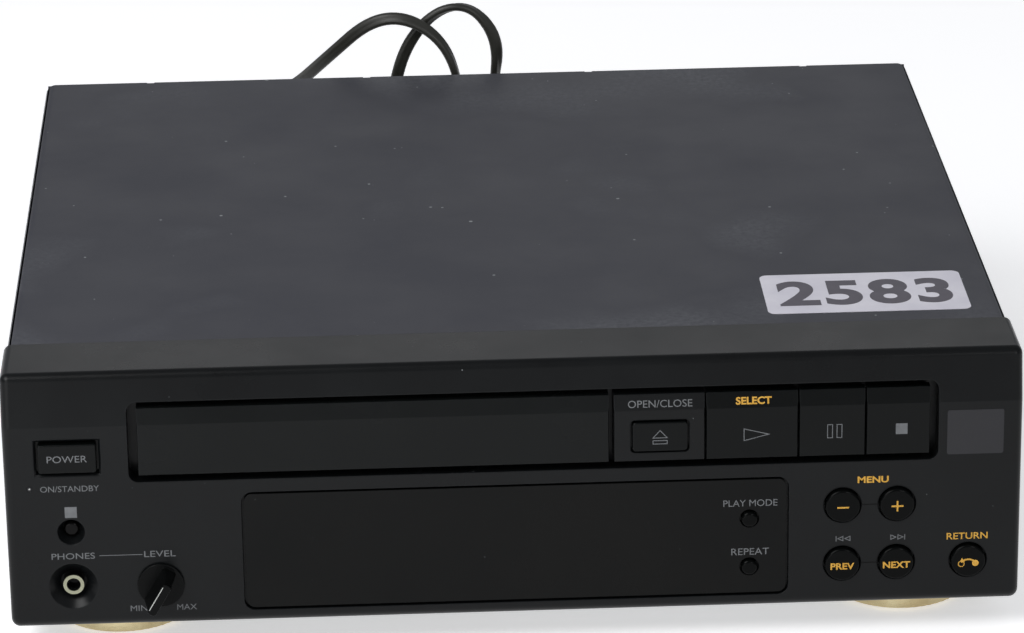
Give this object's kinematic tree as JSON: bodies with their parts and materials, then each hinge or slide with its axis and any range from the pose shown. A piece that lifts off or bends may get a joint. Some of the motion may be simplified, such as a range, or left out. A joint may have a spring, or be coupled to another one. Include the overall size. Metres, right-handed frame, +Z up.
{
  "type": "video cd player",
  "caption": "Table-top disc player with a front-loading tray, keys beside it, a wide dark window, round buttons, a level knob, a phones socket and a mains lead looped behind.",
  "frame": {"origin": "on the floor under the middle of the player's bounding box, the free lead left out", "axes": "+X to the right as the user faces the front, +Y from the front to the back, +Z up"},
  "size_m": [0.357, 0.4691, 0.1302],
  "materials": {
    "black_plastic": "fine textured black moulding",
    "knob_plastic": "satin black",
    "smoked_window": "polished dark acrylic",
    "display_glass": "clear",
    "lamp": "milky",
    "socket_metal": "nickel plated",
    "motor_steel": "bright",
    "sheet_steel": "zinc plated",
    "base_steel": "zinc plated",
    "cover_paint": "dark grey, satin, lightly scuffed",
    "gold_ring": "gold metallized",
    "rubber": "matt",
    "board": "bare laminate",
    "natural_plastic": "uncoloured acetal",
    "pickup_body": "satin",
    "cable": "white flat cable",
    "lead": "black flexible sheath"
  },
  "bodies": {
    "player": {"front_bezel": "black_plastic", "display_window": "smoked_window", "key_holder": "black_plastic", "remote_lens": "smoked_window", "standby_lamp": "lamp", "phones_socket": "socket_metal", "level_control": "socket_metal", "front_board": "board", "display_tube": "display_glass", "chassis": "sheet_steel", "foot_bodies": "knob_plastic", "foot_rings": "gold_ring", "foot_pads": "rubber", "top_cover": "cover_paint", "rear_panel": "sheet_steel", "loading_frame": "knob_plastic", "clamp_bridge": "sheet_steel", "loading_motor": "motor_steel", "loading_belt": "rubber", "main_board": "board", "decoder_board": "board", "power_transformer": "motor_steel", "flat_cables": "cable", "output_sockets": "knob_plastic", "screws": "socket_metal", "strain_relief": "rubber", "power_cord": "lead", "lead_coil": "lead", "power_plug": "lead"},
    "play_key": {"play_key": "black_plastic"},
    "pause_key": {"pause_key": "black_plastic"},
    "stop_key": {"stop_key": "black_plastic"},
    "open_close_button": {"open_close_button": "black_plastic"},
    "power_button": {"power_button": "black_plastic"},
    "minus_button": {"minus_button": "black_plastic"},
    "plus_button": {"plus_button": "black_plastic"},
    "previous_button": {"previous_button": "black_plastic"},
    "next_button": {"next_button": "black_plastic"},
    "return_button": {"return_button": "black_plastic"},
    "play_mode_button": {"play_mode_button": "black_plastic"},
    "repeat_button": {"repeat_button": "black_plastic"},
    "level": {"level_knob": "knob_plastic"},
    "tray": {"disc_tray": "knob_plastic", "tray_lid": "black_plastic"},
    "drive_gear": {"drive_gear": "natural_plastic"},
    "pulley_gear": {"pulley_gear": "natural_plastic"},
    "motor_pulley": {"motor_pulley": "natural_plastic"},
    "cam": {"cam_slider": "natural_plastic"},
    "lift": {"lift_frame": "knob_plastic", "rubber_dampers": "rubber", "optical_base": "base_steel", "spindle_motor": "motor_steel", "guide_shaft": "socket_metal", "sled_motor": "motor_steel"},
    "turntable": {"turntable": "knob_plastic"},
    "chucking_pulley": {"chucking_pulley": "knob_plastic"},
    "pickup": {"optical_pickup": "pickup_body"},
    "sled_gear": {"sled_gear": "natural_plastic"},
    "sled_pinion": {"sled_pinion": "natural_plastic"},
    "system_switch": {"system_switch": "knob_plastic"}
  },
  "joints": [
    {"name": "play_key_press", "type": "slide", "parent": "player", "child": "play_key", "axis": [0, 1, 0], "range_m": [0, 0.001], "stiffness_N_per_m": 800, "springref_m": -0.001},
    {"name": "pause_key_press", "type": "slide", "parent": "player", "child": "pause_key", "axis": [0, 1, 0], "range_m": [0, 0.001], "stiffness_N_per_m": 800, "springref_m": -0.001},
    {"name": "stop_key_press", "type": "slide", "parent": "player", "child": "stop_key", "axis": [0, 1, 0], "range_m": [0, 0.001], "stiffness_N_per_m": 800, "springref_m": -0.001},
    {"name": "open_close_button_press", "type": "slide", "parent": "player", "child": "open_close_button", "axis": [0, 1, 0], "range_m": [0, 0.001], "stiffness_N_per_m": 800, "springref_m": -0.001},
    {"name": "power_button_press", "type": "slide", "parent": "player", "child": "power_button", "axis": [0, 1, 0], "range_m": [0, 0.001], "stiffness_N_per_m": 800, "springref_m": -0.001},
    {"name": "minus_button_press", "type": "slide", "parent": "player", "child": "minus_button", "axis": [0, 1, 0], "range_m": [0, 0.001], "stiffness_N_per_m": 800, "springref_m": -0.001},
    {"name": "plus_button_press", "type": "slide", "parent": "player", "child": "plus_button", "axis": [0, 1, 0], "range_m": [0, 0.001], "stiffness_N_per_m": 800, "springref_m": -0.001},
    {"name": "previous_button_press", "type": "slide", "parent": "player", "child": "previous_button", "axis": [0, 1, 0], "range_m": [0, 0.001], "stiffness_N_per_m": 800, "springref_m": -0.001},
    {"name": "next_button_press", "type": "slide", "parent": "player", "child": "next_button", "axis": [0, 1, 0], "range_m": [0, 0.001], "stiffness_N_per_m": 800, "springref_m": -0.001},
    {"name": "return_button_press", "type": "slide", "parent": "player", "child": "return_button", "axis": [0, 1, 0], "range_m": [0, 0.001], "stiffness_N_per_m": 800, "springref_m": -0.001},
    {"name": "play_mode_button_press", "type": "slide", "parent": "player", "child": "play_mode_button", "axis": [0, 1, 0], "range_m": [0, 0.001], "stiffness_N_per_m": 800, "springref_m": -0.001},
    {"name": "repeat_button_press", "type": "slide", "parent": "player", "child": "repeat_button", "axis": [0, 1, 0], "range_m": [0, 0.001], "stiffness_N_per_m": 800, "springref_m": -0.001},
    {"name": "level_turn", "type": "hinge", "parent": "player", "child": "level", "pos_m": [-0.1245, -0.1626, 0.0268], "axis": [0, 1, 0], "range_deg": [0, 296]},
    {"name": "tray_slide", "type": "slide", "parent": "player", "child": "tray", "axis": [0, -1, 0], "range_m": [0, 0.14]},
    {"name": "drive_gear_spin", "type": "hinge", "parent": "player", "child": "drive_gear", "pos_m": [0.0105, -0.1226, 0.066], "axis": [0, 0, 1], "continuous": true},
    {"name": "pulley_gear_spin", "type": "hinge", "parent": "player", "child": "pulley_gear", "pos_m": [0.0105, -0.1088, 0.066], "axis": [0, 0, 1], "continuous": true},
    {"name": "motor_pulley_spin", "type": "hinge", "parent": "player", "child": "motor_pulley", "pos_m": [0.0105, -0.0786, 0.066], "axis": [0, 0, 1], "continuous": true},
    {"name": "lift_swing", "type": "hinge", "parent": "player", "child": "lift", "pos_m": [-0.049, 0.0074, 0.061], "axis": [1, 0, 0], "range_deg": [0, 5.5]},
    {"name": "cam_slide", "type": "slide", "parent": "player", "child": "cam", "axis": [-1, 0, 0], "range_m": [0, 0.022]},
    {"name": "turntable_spin", "type": "hinge", "parent": "lift", "child": "turntable", "pos_m": [-0.049, -0.0886, 0.071], "axis": [0, 0, 1], "continuous": true},
    {"name": "chucking_pulley_spin", "type": "hinge", "parent": "player", "child": "chucking_pulley", "pos_m": [-0.049, -0.0886, 0.086], "axis": [0, 0, 1], "continuous": true},
    {"name": "pickup_slide", "type": "slide", "parent": "lift", "child": "pickup", "axis": [0, 1, 0], "range_m": [0, 0.034]},
    {"name": "sled_gear_spin", "type": "hinge", "parent": "lift", "child": "sled_gear", "pos_m": [-0.0222, -0.0396, 0.061], "axis": [0, 0, 1], "continuous": true},
    {"name": "sled_pinion_spin", "type": "hinge", "parent": "lift", "child": "sled_pinion", "pos_m": [-0.0222, -0.0271, 0.059], "axis": [0, 0, 1], "continuous": true},
    {"name": "system_switch_slide", "type": "slide", "parent": "player", "child": "system_switch", "axis": [1, 0, 0], "range_m": [0, 0.004]}
  ],
  "couplings": [
    {"joint": "drive_gear_spin", "follows": "tray_slide", "rad_per_m": 111.11},
    {"joint": "pulley_gear_spin", "follows": "tray_slide", "rad_per_m": -253.97},
    {"joint": "motor_pulley_spin", "follows": "tray_slide", "rad_per_m": -837.15},
    {"joint": "cam_slide", "follows": "lift_swing", "m_per_rad": 0.22918},
    {"joint": "chucking_pulley_spin", "follows": "turntable_spin", "ratio": 1},
    {"joint": "sled_gear_spin", "follows": "pickup_slide", "rad_per_m": -208.33},
    {"joint": "sled_pinion_spin", "follows": "pickup_slide", "rad_per_m": 535.71}
  ]
}
